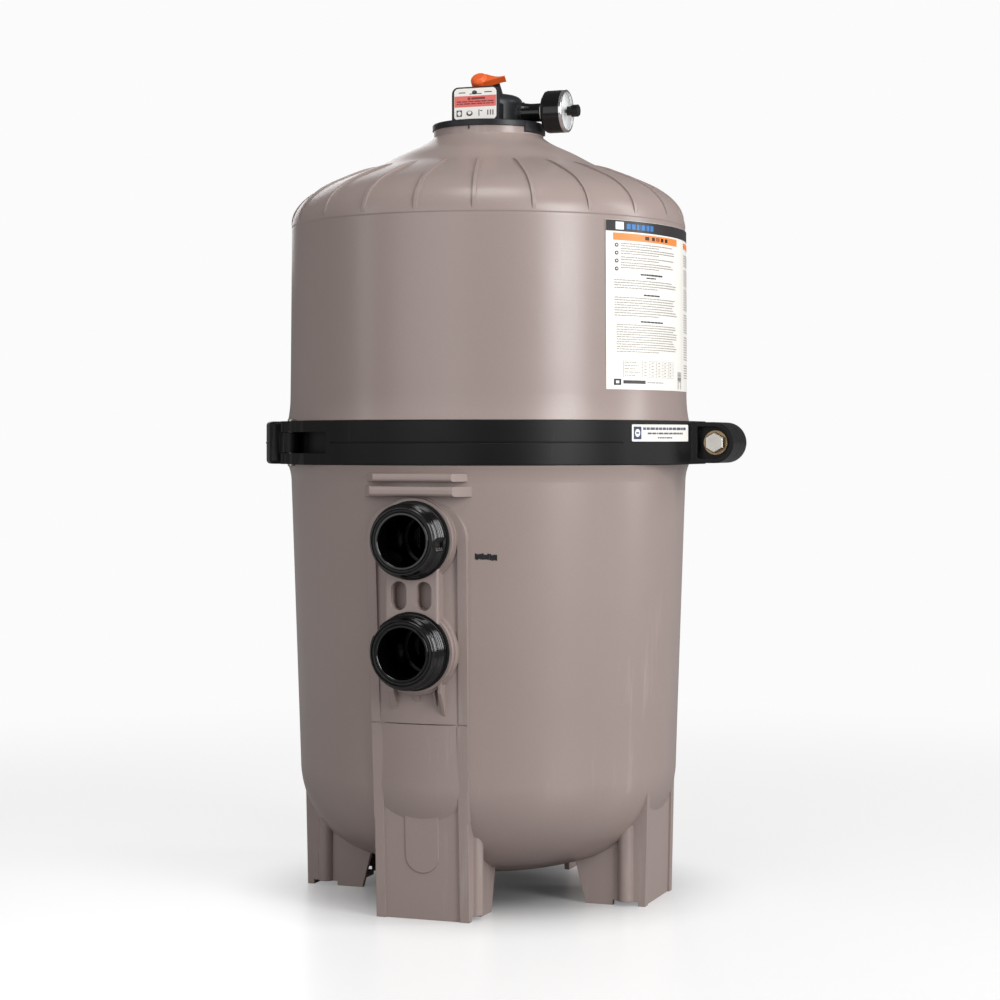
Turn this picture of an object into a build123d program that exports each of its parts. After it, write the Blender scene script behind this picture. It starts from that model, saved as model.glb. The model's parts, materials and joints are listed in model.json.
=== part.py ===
from build123d import *
import os
from math import asin, atan2, cos, radians, sin, sqrt

# Two-shell pool filter tank with a three-segment clamp, two side ports, vertical grid
# elements inside and an air relief valve with a pressure gauge on the crown.
# Millimetres. Origin on the floor at the tank axis, +Z up, the ports face -Y,
# the clamp bolt and the gauge are on the +X side.

# ---- driving dimensions -------------------------------------------------------------
WALL = 8.0                      # moulded tank wall
CLAMP_Z = 610.5                 # height of the joint between the two shells
BARREL_R = 270.0                # outer radius of the barrel
LIP_R = 275.0                   # flared lip above and below the clamp
LIP_OFFSET = 29.0               # lip to joint plane
NECK_R = 250.0                  # outer radius behind the flanges
FLANGE_R = 262.0                # outer radius of the flanges
FLANGE_ROOT = 16.9              # flange half height at the neck
FLANGE_TIP = 13.7               # flange half height at its edge
MOUTH_R = 238.0                 # clear radius through the joint

DISH_BOTTOM = 29.0              # lowest point of the dished bottom
CROWN_R = 515.0
KNUCKLE_R = 125.0
KNUCKLE_CENTRE_R = 132.0
KNUCKLE_CENTRE_Z = 177.0

LEG_FACE = 243.0                # leg face to tank axis, at the floor
LEG_HALF_WIDTH = 63.8
LEG_DEPTH = 82.0
COLUMN_RHO = 216.0              # half-round columns on the leg sides
COLUMN_R = 11.0
NOTCH_HALF = 17.5
NOTCH_TOP = 6.0
FRAME_HALF_LOW = 64.8           # half width of the port frame, at its foot and its top
FRAME_HALF_HIGH = 69.0
FRONT_LEAN = 2.75               # degrees that the front face leans outwards
SIDE_LEAN = 1.3
RIB_WIDTH = 12.6                # raised edge strips of the leg face
RIB_PROUD = 2.6
ANCHOR_RADIUS = 200.0
ANCHOR_HOLE_R = 5.5

PORT_Z = {"upper": 487.0, "lower": 346.0}
PORT_FACE = 315.0               # port end face to tank axis
PORT_BORE_R = 31.9
BOSS_FACE = 276.0
BOSS_R = 56.0
PORT_SPIGOT_R = 37.8
INNER_BOSS_FACE = 243.0

RIDGE_COUNT = 22                # strengthening ridges round the dome shoulder
NECK_TOP = 1040.0               # top of the collar that carries the valve
RING_LOW = 1037.8               # lower edge of the locking ring
RING_TOP = 1046.2
COLLAR_R = 75.6
COLLAR_BORE_R = 60.0

BAND_R = 276.0
BAND_HALF = 28.5
BAND_INNER_R = 263.5
CHANNEL_LEG_R = 251.5
HINGE_AZ = 49.0                 # hinge pins, either side of the -X side spine
HINGE_RHO = 281.0
PIN_R = 5.0
EAR_R = 14.0
KNUCKLE_EAR_HALF = 13.4
SPINE_R = 304.0
BOLT_X = 328.0
LUG_R = 27.0
LUG_DEPTH = 35.0
BOLT_R = 8.0
BOLT_HEAD_FLATS = 24.0

GAUGE_Z = 1061.0
GAUGE_SOCKET = 36.0             # bottom of the adapter's socket in the valve head
ADAPTER_END = 78.0
GAUGE_BACK = 83.0
GAUGE_FRONT = 114.5
GAUGE_R = 29.0
STEM_CENTRE = (0.0, -35.0, 1103.0)

ELEMENT_COUNT = 8
ELEMENT_Z = (132.0, 862.0)
ELEMENT_R = (46.0, 200.0)
ELEMENT_HALF = 9.0
STANDPIPE_RHO = 188.0

os.makedirs("parts", exist_ok=True)


# ---- helpers ------------------------------------------------------------------------
def save(node, shape):
    shape.label = node
    export_step(shape, f"parts/{node}.step")


def joined(shapes):
    total = shapes[0]
    for shape in shapes[1:]:
        total = total + shape
    return total


def at_az(radius, azimuth, z=0.0):
    """Point at an azimuth in degrees, measured from -Y towards +X."""
    return (radius * sin(radians(azimuth)), -radius * cos(radians(azimuth)), z)


def spin(shape, azimuth):
    """Turn a shape built at the -Y side to an azimuth."""
    return shape.rotate(Axis.Z, azimuth)


def polygon_turned(points, arc=360.0, start=0.0):
    """Revolve an (r, z) polygon about the tank axis; the arc starts at an azimuth."""
    face = make_face(Polyline(*[(r, 0, z) for r, z in points], close=True))
    return spin(revolve(face, Axis.Z, arc), start - 90)


def tube(r_in, r_out, z0, z1):
    body = Pos(0, 0, (z0 + z1) / 2) * Cylinder(r_out, z1 - z0)
    if r_in <= 0:
        return body
    return body - Pos(0, 0, (z0 + z1) / 2) * Cylinder(r_in, z1 - z0 + 2)


def along(origin, direction, shape):
    """Place a shape built along +Z so that it lies along a direction from an origin."""
    return Plane(origin=origin, z_dir=direction) * shape


def torus_ring(major, minor, z):
    return Pos(0, 0, z) * Torus(major, minor)


def block(x0, x1, y0, y1, z0, z1):
    centre = ((x0 + x1) / 2, (y0 + y1) / 2, (z0 + z1) / 2)
    return Pos(*centre) * Box(abs(x1 - x0), abs(y1 - y0), abs(z1 - z0))


def yz_plate(points, x0, x1):
    """Extrude a (y, z) polygon from x0 to x1."""
    face = make_face(Polyline(*[(x0, y, z) for y, z in points], close=True))
    return extrude(face, amount=x1 - x0, dir=(1, 0, 0))


# ---- shell profiles -----------------------------------------------------------------
def dish_points(offset):
    """Dished bottom moved inwards by an offset: start, arc middles and ends, as (r, z)."""
    crown_centre_z = DISH_BOTTOM + CROWN_R
    dr = KNUCKLE_CENTRE_R
    dz = KNUCKLE_CENTRE_Z - crown_centre_z
    length = sqrt(dr * dr + dz * dz)
    tangent = atan2(dz, dr)
    crown = CROWN_R - offset
    knuckle = KNUCKLE_R - offset
    half = asin(dr / length) / 2
    start = (0.0, crown_centre_z - crown)
    crown_mid = (crown * sin(half), crown_centre_z - crown * cos(half))
    join = (crown * dr / length, crown_centre_z + crown * dz / length)
    knuckle_mid = (KNUCKLE_CENTRE_R + knuckle * cos(tangent / 2),
                   KNUCKLE_CENTRE_Z + knuckle * sin(tangent / 2))
    end = (KNUCKLE_CENTRE_R + knuckle, KNUCKLE_CENTRE_Z)
    return start, crown_mid, join, knuckle_mid, end


def dish_edges(offset):
    start, crown_mid, join, knuckle_mid, end = [(r, 0, z) for r, z in dish_points(offset)]
    return [ThreePointArc(start, crown_mid, join), ThreePointArc(join, knuckle_mid, end)]


def flange_points(side):
    """Neck and flange below (side -1) or above (side +1) the joint, from the lip inwards."""
    offsets = [(LIP_R, LIP_OFFSET), (NECK_R, LIP_OFFSET), (NECK_R, FLANGE_ROOT),
               (FLANGE_R, FLANGE_TIP), (FLANGE_R, 0.15), (MOUTH_R, 0.15)]
    return [(r, CLAMP_Z + side * h) for r, h in offsets]


def lower_shell():
    outer = dish_edges(0)
    inner = dish_edges(WALL)
    rim = flange_points(-1)
    lip_z = CLAMP_Z - LIP_OFFSET
    flare_start = (BARREL_R, 0, lip_z - 22)
    knuckle_end = (KNUCKLE_CENTRE_R + KNUCKLE_R, 0, KNUCKLE_CENTRE_Z)
    inner_top = (BARREL_R - WALL, 0, lip_z - 22)
    inner_end = (KNUCKLE_CENTRE_R + KNUCKLE_R - WALL, 0, KNUCKLE_CENTRE_Z)
    bottom_outer = (0, 0, DISH_BOTTOM)
    bottom_inner = (0, 0, DISH_BOTTOM + WALL)
    edges = outer + [
        Line(knuckle_end, flare_start),
        ThreePointArc(flare_start, (BARREL_R + 1.6, 0, lip_z - 10), (LIP_R, 0, lip_z)),
        Polyline(*[(r, 0, z) for r, z in rim]),
        Polyline((MOUTH_R, 0, rim[-1][1]), (MOUTH_R, 0, lip_z - 8), inner_top, inner_end),
    ] + inner + [Line(bottom_inner, bottom_outer)]
    return revolve(make_face(edges), Axis.Z, 360)


def lower_envelope():
    """Solid that fills the lower shell's outer shape up to the lip."""
    lip_z = CLAMP_Z - LIP_OFFSET
    edges = dish_edges(1.0) + [
        Line((KNUCKLE_CENTRE_R + KNUCKLE_R - 1, 0, KNUCKLE_CENTRE_Z), (BARREL_R - 1, 0, lip_z - 22)),
        Polyline((BARREL_R - 1, 0, lip_z - 22), (BARREL_R - 1, 0, lip_z), (0, 0, lip_z),
                 (0, 0, DISH_BOTTOM + 1)),
    ]
    return revolve(make_face(edges), Axis.Z, 360)


# ---- lower tank ---------------------------------------------------------------------
def lean_y(z, lean):
    """Y of the leaning leg face at a height."""
    return -(LEG_FACE + z * sin(radians(lean)) / cos(radians(lean)))


def leg(lean, top):
    """One U-shaped leg at the -Y side, open towards the tank axis."""
    half = LEG_HALF_WIDTH
    plate = 7.0
    foot_inner = -(LEG_FACE - LEG_DEPTH)
    face = yz_plate([(lean_y(0, lean), 0), (lean_y(0, lean) + 9, 0),
                     (lean_y(top, lean) + 9, top), (lean_y(top, lean), top)], -half, half)
    face = face - yz_plate([(lean_y(0, lean) - 1, -1), (lean_y(0, lean) + RIB_PROUD, -1),
                            (lean_y(top, lean) + RIB_PROUD, top + 1),
                            (lean_y(top, lean) - 1, top + 1)],
                           -half + RIB_WIDTH, half - RIB_WIDTH)
    side_outline = [(lean_y(0, lean) + 1, 0), (foot_inner, 0), (foot_inner + 16, 62),
                    (foot_inner + 16, top), (lean_y(top, lean) + 1, top)]
    pieces = [face]
    column_y = -COLUMN_RHO
    for side in (-1, 1):
        x_out = side * half
        x_in = side * (half - plate)
        pieces.append(yz_plate(side_outline, min(x_out, x_in), max(x_out, x_in)))
        column = Cylinder(COLUMN_R, 130 - NOTCH_TOP)
        pieces.append(Pos(side * (half - 2.5), column_y, (NOTCH_TOP + 130) / 2) * column)
    pieces.append(block(-30, 30, lean_y(0, lean) + 5, -184, 0, 7))
    body = joined(pieces)
    for side in (-1, 1):
        body = body - block(side * (half - 16), side * (half + 12), column_y - NOTCH_HALF,
                            column_y + NOTCH_HALF, -1, NOTCH_TOP)
        inside = half - plate
        body = body - block(side * (inside - 25), side * inside, column_y - NOTCH_HALF,
                            column_y + NOTCH_HALF, NOTCH_TOP, top)
    return body - Pos(0, -ANCHOR_RADIUS, 3.5) * Cylinder(ANCHOR_HOLE_R, 9)


def leaning_plane(origin):
    """Plane parallel to the leaning front face, its local Y pointing up the face."""
    return Plane(origin=origin, x_dir=(1, 0, 0),
                 z_dir=(0, -cos(radians(FRONT_LEAN)), -sin(radians(FRONT_LEAN))))


def leg_pad():
    """Shallow raised oval on the front leg's face."""
    middle = 109.0
    inside = lean_y(middle, FRONT_LEAN) + RIB_PROUD + 5
    plane = leaning_plane((0, inside, middle))
    pad = extrude(plane * (Rot(0, 0, 90) * SlotOverall(98, 46)), amount=6.2)
    return fillet(pad.faces().sort_by(Axis.Y)[0].edges(), 1.0)


def frame_outline(height, inset):
    """Outline of the port frame, a little wider at the top, with rounded upper corners."""
    low = FRAME_HALF_LOW - inset
    high = FRAME_HALF_HIGH - inset
    corners = [(-low, 0), (low, 0), (high, height - inset), (-high, height - inset)]
    face = make_face(Polyline(*corners, close=True))
    return fillet(face.vertices().group_by(Axis.Y)[-1], 46.0 - inset)


def port_frame():
    """Raised frame round the ports, in the plane of the leaning front face."""
    bottom = 130.0
    height = 406.0
    depth = 38.0
    outline = frame_outline(height, 0) - frame_outline(height, RIB_WIDTH)
    inside = lean_y(bottom, FRONT_LEAN) + depth
    frame = leaning_plane((0, inside, bottom)) * extrude(outline, amount=depth + 2)
    clip = yz_plate([(lean_y(bottom - 20, FRONT_LEAN), bottom - 20), (lean_y(700, FRONT_LEAN), 700),
                     (-200, 700), (-200, bottom - 20)], -100, 100)
    return frame & clip


def leg_fairing():
    """Barrel surface carried straight down between the front leg's edge strips."""
    half = LEG_HALF_WIDTH - RIB_WIDTH + 0.5
    sector = polygon_turned([(238, 150), (248.5, 150), (256.3, 164), (257.3, 184), (238, 184)], 30, -15)
    return sector & block(-half, half, -300, -200, 140, 190)


def shelf(z0, z1, half_width, face_y):
    """Horizontal ridge above the ports, with ends that taper to the tank wall."""
    wall_y = 259.0
    taper = 17.0
    outline = make_face(Polyline((-half_width, -240, z0), (-half_width, -wall_y, z0),
                                 (-half_width + taper, -face_y, z0), (half_width - taper, -face_y, z0),
                                 (half_width, -wall_y, z0), (half_width, -240, z0), close=True))
    bar = extrude(outline, amount=z1 - z0, dir=(0, 0, 1))
    return fillet(bar.edges().filter_by(Axis.X).group_by(Axis.Y)[0], (z1 - z0) * 0.35)


def port_gusset(x, width, bottom, reach):
    top = PORT_Z["lower"] - 30
    outline = [(-250, top), (-reach, top), (-reach, PORT_Z["lower"] - BOSS_R + 4),
               (-258, bottom), (-250, bottom)]
    return yz_plate(outline, x - width / 2, x + width / 2)


def port_boss(z):
    outer = along((0, -235, z), (0, -1, 0), Pos(0, 0, 17.5) * Cylinder(BOSS_R, 35))
    step = along((0, -235, z), (0, -1, 0),
                 Pos(0, 0, (BOSS_FACE - 235) / 2) * Cylinder(BOSS_R - 2.5, BOSS_FACE - 235))
    return outer + step


def port_block():
    """Thick web between the two ports, with two pockets in it."""
    mid = (PORT_Z["upper"] + PORT_Z["lower"]) / 2
    face = 282.0
    body = block(-36.2, 36.2, -face, -240, mid - 42, mid + 42)
    body = fillet(body.edges().filter_by(Axis.Z).group_by(Axis.Y)[0], 3)
    for z in PORT_Z.values():
        body = body - along((0, -BOSS_FACE, z), (0, -1, 0), Pos(0, 0, 20) * Cylinder(50.5, 40))
    pocket = Sketch() + SlotOverall(36.6, 20.7)
    for x in (-17, 17):
        cut = extrude(Plane(origin=(x, -face - 1, mid), x_dir=(0, 0, 1), z_dir=(0, 1, 0)) * pocket,
                      amount=23)
        body = body - cut
    return body


def drain_axis():
    """Centre of the drain's outer face and its outward direction."""
    azimuth = 135.0
    return at_az(262.0, azimuth, 128.0), at_az(1.0, azimuth)


def lower_tank():
    shell = lower_shell()
    envelope = lower_envelope()
    outside = [spin(leg(SIDE_LEAN, 166), azimuth) for azimuth in (90, 180, 270)]
    outside.append(leg(FRONT_LEAN, 250))
    outside.append(leg_pad())
    outside.append(leg_fairing())
    outside.append(port_frame())
    outside.append(shelf(561, 571, 70.5, 281))
    outside.append(shelf(542, 555, 73.5, 285))
    outside.append(port_block())
    for x, width, bottom, reach in ((-32, 8, 270, 272), (0, 8, 278, 270), (25, 3, 272, 268),
                                    (35, 4, 264, 274)):
        outside.append(port_gusset(x, width, bottom, reach))
    for z in PORT_Z.values():
        outside.append(port_boss(z))
    centre, direction = drain_axis()
    inner_start = tuple(c - 45 * d for c, d in zip(centre, direction))
    outside.append(along(inner_start, direction, Pos(0, 0, 22.5) * Cylinder(25, 45)))
    body = shell
    for piece in outside:
        body = body + (piece - envelope)
    for z in PORT_Z.values():
        inner_boss = along((0, -INNER_BOSS_FACE, z), (0, -1, 0), Pos(0, 0, 6) * Cylinder(54, 12))
        body = body + (inner_boss & envelope)
    body = body + (tube(0, 20, DISH_BOTTOM + 4, 62) & envelope)
    body = body - tube(0, 5.0, 46, 70)
    for z in PORT_Z.values():
        body = body - along((0, -200, z), (0, -1, 0), Pos(0, 0, 50) * Cylinder(PORT_SPIGOT_R, 100))
    body = body - along(inner_start, direction, Pos(0, 0, 20) * Cylinder(13.5, 60))
    body = body - along(centre, direction, Cylinder(17.5, 5.0))
    body = body - tube(246.8, 253.2, CLAMP_Z - 5.85, CLAMP_Z + 1)
    witness = tube(240, 300, 251.6, 252.6) & block(-70, 70, -300, -200, 240, 260)
    groove = witness - yz_plate([(-(LEG_FACE + 12.1 - 0.9), 250), (-200, 250), (-200, 254),
                                 (-(LEG_FACE + 12.1 - 0.9), 254)], -70, 70)
    return body - groove


# ---- upper tank ---------------------------------------------------------------------
COLLAR_FOOT = (COLLAR_R, 1028.0)
DOME_LINE = [(90.0, 1018.0), (115.0, 1006.2), (131.0, 997.9), (151.5, 986.9), (170.0, 979.8),
             (207.0, 965.4), (231.0, 954.2), (250.0, 941.0), (261.5, 928.0), (267.3, 916.0)]
SHOULDER_FOOT = (269.8, 905.0)
SEAM_Z = 904.0
BARREL_FOOT = 33.0              # straight part of the upper barrel starts this far above its lip
BARREL_FOOT_R = 271.4


def dome_line(shift_r, shift_z):
    """Line of the dome from the collar foot down to the seam, moved by a shift."""
    points = [COLLAR_FOOT] + DOME_LINE + [SHOULDER_FOOT]
    return Spline([(r + shift_r, 0, z + shift_z) for r, z in points])


def upper_shell():
    lip_z = CLAMP_Z + LIP_OFFSET
    rim = [(r, 0, z) for r, z in flange_points(1)]
    inner_rim_z = lip_z + 8
    flare = [(LIP_R, 0, lip_z), (272.7, 0, lip_z + 13), (BARREL_FOOT_R, 0, lip_z + BARREL_FOOT)]
    barrel = Spline(flare,
                    tangents=[(-0.25, 0, 1), (BARREL_R - BARREL_FOOT_R, 0, SEAM_Z - lip_z - BARREL_FOOT)])
    outer = [
        Line((COLLAR_R, 0, NECK_TOP), (COLLAR_R, 0, COLLAR_FOOT[1])),
        dome_line(0, 0),
        Polyline((SHOULDER_FOOT[0], 0, SHOULDER_FOOT[1]), (SHOULDER_FOOT[0] + 0.1, 0, SEAM_Z),
                 (BARREL_R - 0.7, 0, SEAM_Z - 1.5), (BARREL_R - 0.5, 0, SEAM_Z - 5),
                 (BARREL_FOOT_R, 0, lip_z + BARREL_FOOT)),
        barrel,
        Polyline(*rim),
    ]
    inner_shift = -WALL
    inner_drop = -9.0
    inner_top = (COLLAR_BORE_R, 0, NECK_TOP)
    inner_foot = (COLLAR_R + inner_shift, 0, COLLAR_FOOT[1] + inner_drop)
    inner_seam = (SHOULDER_FOOT[0] + inner_shift, 0, SHOULDER_FOOT[1] + inner_drop)
    inner = [
        Polyline((MOUTH_R, 0, rim[-1][2]), (MOUTH_R, 0, inner_rim_z), (BARREL_R - WALL, 0, lip_z + 22),
                 (BARREL_R - WALL, 0, SEAM_Z - 20), inner_seam),
        dome_line(inner_shift, inner_drop),
        Polyline(inner_foot, (COLLAR_BORE_R, 0, 1022.0), inner_top, (COLLAR_R, 0, NECK_TOP)),
    ]
    return revolve(make_face(outer + inner), Axis.Z, 360)


def ridge():
    """One radial ridge over the shoulder, proud by a little and faded at both ends."""
    path = [(159.0, 983.6)] + DOME_LINE[4:] + [(269.6, 906.5)]
    proud = [0.0, 1.8, 2.4, 2.4, 2.4, 2.4, 1.9, 0.0]
    tops = []
    for index, (r, z) in enumerate(path):
        before = path[max(index - 1, 0)]
        after = path[min(index + 1, len(path) - 1)]
        run = (after[0] - before[0], after[1] - before[1])
        length = sqrt(run[0] ** 2 + run[1] ** 2)
        normal = (-run[1] / length, run[0] / length)
        tops.append((r + normal[0] * proud[index], 0, z + normal[1] * proud[index]))
    top = Spline(tops)
    base = Polyline(tops[-1], (264.0, 0, 905.5), (244.0, 0, 935.0), (200.0, 0, 961.0),
                    (160.0, 0, 979.0), tops[0])
    face = make_face([top, base])
    return extrude(face, amount=2.6, both=True)


def upper_tank():
    body = upper_shell()
    one = ridge()
    for index in range(RIDGE_COUNT):
        body = body + spin(one, index * 360.0 / RIDGE_COUNT - 90)
    return body - tube(COLLAR_R - 1.8, COLLAR_R + 4, RING_LOW - 0.2, NECK_TOP + 1)


def tank_o_ring():
    return torus_ring(250.0, 3.0, CLAMP_Z - 2.85)


# ---- clamp --------------------------------------------------------------------------
def channel_cut():
    """Room for the shells and flanges inside the clamp."""
    points = [(0, -40), (CHANNEL_LEG_R, -40), (CHANNEL_LEG_R, -16.8), (BAND_INNER_R, -13.6),
              (BAND_INNER_R, 13.6), (CHANNEL_LEG_R, 16.8), (CHANNEL_LEG_R, 40), (0, 40)]
    return polygon_turned([(r, CLAMP_Z + h) for r, h in points])


def plan_prism(points, half, z_mid=CLAMP_Z):
    face = make_face(Polyline(*[(x, y, z_mid - half) for x, y in points], close=True))
    return extrude(face, amount=2 * half, dir=(0, 0, 1))


def band_sector(r_in, r_out, az0, az1, half):
    points = [(r_in, CLAMP_Z - half), (r_out, CLAMP_Z - half), (r_out, CLAMP_Z + half),
              (r_in, CLAMP_Z + half)]
    return polygon_turned(points, az1 - az0, az0)


def pin_centre(side):
    point = at_az(HINGE_RHO, -HINGE_AZ)
    return (point[0], point[1] if side < 0 else -point[1])


def at_pin(radius, z0, z1):
    x, y = pin_centre(-1)
    return Pos(x, y, 0) * tube(0, radius, z0, z1)


def front_jaw():
    low = CLAMP_Z - BAND_HALF
    high = CLAMP_Z + BAND_HALF
    band = band_sector(CHANNEL_LEG_R, BAND_R, -HINGE_AZ, 90 - 0.08, BAND_HALF)
    # Thicker stretch beside the hinge, blended into the band's outer circle.
    ear_outer = at_az(HINGE_RHO + EAR_R, -HINGE_AZ)
    blend = at_az(BAND_R, -27)
    mid = at_az(BAND_R + 9, -38)
    ear_inner = at_az(CHANNEL_LEG_R + 8, -HINGE_AZ)
    back = at_az(CHANNEL_LEG_R + 8, -30)
    pad = plan_prism([ear_outer[:2], mid[:2], blend[:2], back[:2], ear_inner[:2]], BAND_HALF)
    # Flat run from the band to the lug.
    leave = at_az(BAND_R, 60)
    lug_root = (298.5, -LUG_DEPTH)
    flat = plan_prism([leave[:2], lug_root, (298.5, -0.4), (262.0, -0.4), at_az(262, 75)[:2],
                       at_az(262, 60)[:2]], BAND_HALF)
    ear = at_pin(EAR_R, low, high)
    lug = block(285, BOLT_X, -LUG_DEPTH, -0.4, CLAMP_Z - LUG_R, CLAMP_Z + LUG_R)
    lug = lug + along((BOLT_X, -LUG_DEPTH, CLAMP_Z), (0, 1, 0),
                      Pos(0, 0, (LUG_DEPTH - 0.4) / 2) * Cylinder(LUG_R, LUG_DEPTH - 0.4))
    body = band + pad + flat + ear + lug - channel_cut()
    # Gap for the spine's knuckle and the recess beside it.
    slot = at_pin(EAR_R + 4, CLAMP_Z - KNUCKLE_EAR_HALF - 0.5, CLAMP_Z + KNUCKLE_EAR_HALF + 0.5)
    slot = slot & band_sector(267.6, 320, -60, -30, KNUCKLE_EAR_HALF + 0.5)
    recess = band_sector(267.6, 320, -HINGE_AZ - 4, -29.5, KNUCKLE_EAR_HALF + 0.5)
    body = body - slot - recess
    body = body - at_pin(PIN_R + 0.06, low - 1, high + 1)
    groove = band_sector(BAND_R - 0.7, BAND_R + 2, -28, 59, 0.7)
    return body - groove


def lug_hole(radius, y0, y1):
    pin = Pos(0, 0, (y1 - y0) / 2) * Cylinder(radius, y1 - y0)
    return along((BOLT_X, y0, CLAMP_Z), (0, 1, 0), pin)


def clamp_front_jaw():
    wall = 6.0
    pocket = block(300 + wall, BOLT_X, -LUG_DEPTH - 1, -22, CLAMP_Z - LUG_R + wall, CLAMP_Z + LUG_R - wall)
    pocket = pocket + lug_hole(LUG_R - wall, -LUG_DEPTH - 1, -22)
    return front_jaw() - pocket - lug_hole(BOLT_R + 0.5, -40, 5)


def clamp_rear_jaw():
    body = mirror(front_jaw(), Plane.XZ)
    body = body - lug_hole(BOLT_R + 3.0, -5, 4)
    body = body - lug_hole(12.0, 4, 17)
    return body - lug_hole(BOLT_R + 2.0, 16, 50)


def clamp_insert():
    """Threaded brass insert in the rear lug."""
    return lug_hole(12.0, 4, 16.8) - lug_hole(BOLT_R + 0.45, 3, 18)


def clamp_spine():
    end = HINGE_AZ + 4.6
    start = -180 + end
    sweep = 180 - 2 * end
    body = band_sector(CHANNEL_LEG_R, SPINE_R, start, start + sweep, BAND_HALF)
    corners = [edge for edge in body.edges().filter_by(Axis.Z)
               if Vector(edge.center().X, edge.center().Y, 0).length > SPINE_R - 1]
    body = fillet(corners, 9)
    rims = [edge for edge in body.edges()
            if abs(edge.center().Z - CLAMP_Z) > BAND_HALF - 0.1
            and Vector(edge.center().X, edge.center().Y, 0).length > SPINE_R - 9]
    body = fillet(rims, 5)
    root = band_sector(HINGE_RHO - 10, HINGE_RHO + 10, start - 5, start + sweep + 5, KNUCKLE_EAR_HALF)
    for side in (-1, 1):
        x, y = pin_centre(side)
        clear = Pos(x, y, 0) * tube(0, EAR_R + 0.9, CLAMP_Z - 40, CLAMP_Z + 40)
        body = body - clear
    body = body + root
    for side in (-1, 1):
        x, y = pin_centre(side)
        body = body + Pos(x, y, 0) * tube(0, 11, CLAMP_Z - KNUCKLE_EAR_HALF, CLAMP_Z + KNUCKLE_EAR_HALF)
        body = body - Pos(x, y, 0) * tube(0, PIN_R, CLAMP_Z - 40, CLAMP_Z + 40)
    ridge_ring = band_sector(SPINE_R - 3, SPINE_R + 0.8, start + 3, start + sweep - 3, 1.0)
    return body + ridge_ring - channel_cut()


def hinge_pin(side):
    x, y = pin_centre(side)
    reach = BAND_HALF + 3
    pin = Pos(x, y, CLAMP_Z) * Cylinder(PIN_R, 2 * reach)
    return chamfer(pin.edges(), 0.8)


def clamp_bolt():
    """Hex screw along the lug axis, head in the front pocket."""
    under_head = -24.6
    head = along((BOLT_X, under_head, CLAMP_Z), (0, -1, 0),
                 extrude(RegularPolygon(BOLT_HEAD_FLATS / 2, 6, major_radius=False), amount=9.5))
    head = chamfer(head.edges().group_by(Axis.Y)[0], 1.2)
    shank = lug_hole(BOLT_R, under_head, 18)
    return head + chamfer(shank.edges().group_by(Axis.Y)[-1], 1.0)


def bolt_washer():
    return lug_hole(16.0, -24.5, -22.1) - lug_hole(BOLT_R + 0.4, -26, -20)


def clamp_label():
    """Thin plate on the flat stretch beside the front lug."""
    leave = at_az(BAND_R, 60)
    run = (298.5 - leave[0], -LUG_DEPTH - leave[1])
    length = sqrt(run[0] ** 2 + run[1] ** 2)
    unit = (run[0] / length, run[1] / length)
    out = (unit[1], -unit[0], 0)
    near_lug = (298.5 - 7 * unit[0], -LUG_DEPTH - 7 * unit[1])
    mid = (near_lug[0] - 50.5 * unit[0], near_lug[1] - 50.5 * unit[1], CLAMP_Z + 12.5)
    plane = Plane(origin=mid, x_dir=(unit[0], unit[1], 0), z_dir=out)
    return extrude(plane * RectangleRounded(101, 22, 1.5), amount=0.4)


# ---- ports --------------------------------------------------------------------------
def on_port(z, shape):
    """Place a shape built along +Z with z = distance from the tank axis."""
    return along((0, 0, z), (0, -1, 0), shape)


def port_fitting(z):
    """Threaded bulkhead fitting with a coarse outer thread."""
    points = [(PORT_BORE_R, 222), (PORT_SPIGOT_R - 0.2, 222), (PORT_SPIGOT_R - 0.2, 279),
              (47.5, 279), (47.5, 283)]
    thread_pitch = 6.0
    for turn in range(4):
        base = 283 + turn * thread_pitch
        points += [(44.6, base + 1.6), (44.6, base + 2.6), (47.2, base + 4.0), (47.2, base + 5.2)]
    points += [(44.6, 309.0), (43.0, 310.0), (43.0, 313.5), (41.8, PORT_FACE), (40.4, PORT_FACE),
               (40.4, 311.4), (36.2, 311.4), (36.2, PORT_FACE), (33.0, PORT_FACE),
               (PORT_BORE_R, 313.6)]
    face = make_face(Polyline(*[(r, 0, y) for r, y in points], close=True))
    body = revolve(face, Axis.Z, 360)
    start = block(42, 49, -5, 5, 283.5, 308.5)
    return on_port(z, body - start)


def port_face_seal(z):
    return on_port(z, torus_ring(38.3, 1.9, 313.3))


def port_gasket(z):
    return on_port(z, tube(PORT_SPIGOT_R, 50.0, BOSS_FACE, 279))


def port_locknut(z):
    nut = extrude(RegularPolygon(50, 8, major_radius=False), amount=11)
    return on_port(z, Pos(0, 0, INNER_BOSS_FACE - 11) * nut - Cylinder(PORT_SPIGOT_R, 2000))


def outlet_elbow():
    """Elbow behind the upper port with a socket for the standpipe."""
    z = PORT_Z["upper"]
    level = on_port(z, tube(0, 36, STANDPIPE_RHO, 221.5))
    up = Pos(0, -STANDPIPE_RHO, 0) * tube(0, 34, z - 36, z + 60)
    bore = on_port(z, tube(0, 30, STANDPIPE_RHO, 230))
    bore = bore + Pos(0, -STANDPIPE_RHO, 0) * tube(0, 26, z - 28, z + 30)
    socket = Pos(0, -STANDPIPE_RHO, 0) * tube(0, 30, z + 29, z + 70)
    return level + up - bore - socket


def standpipe():
    return Pos(0, -STANDPIPE_RHO, 0) * tube(26.5, 29.9, PORT_Z["upper"] + 29, ELEMENT_Z[1] + 12)


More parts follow.
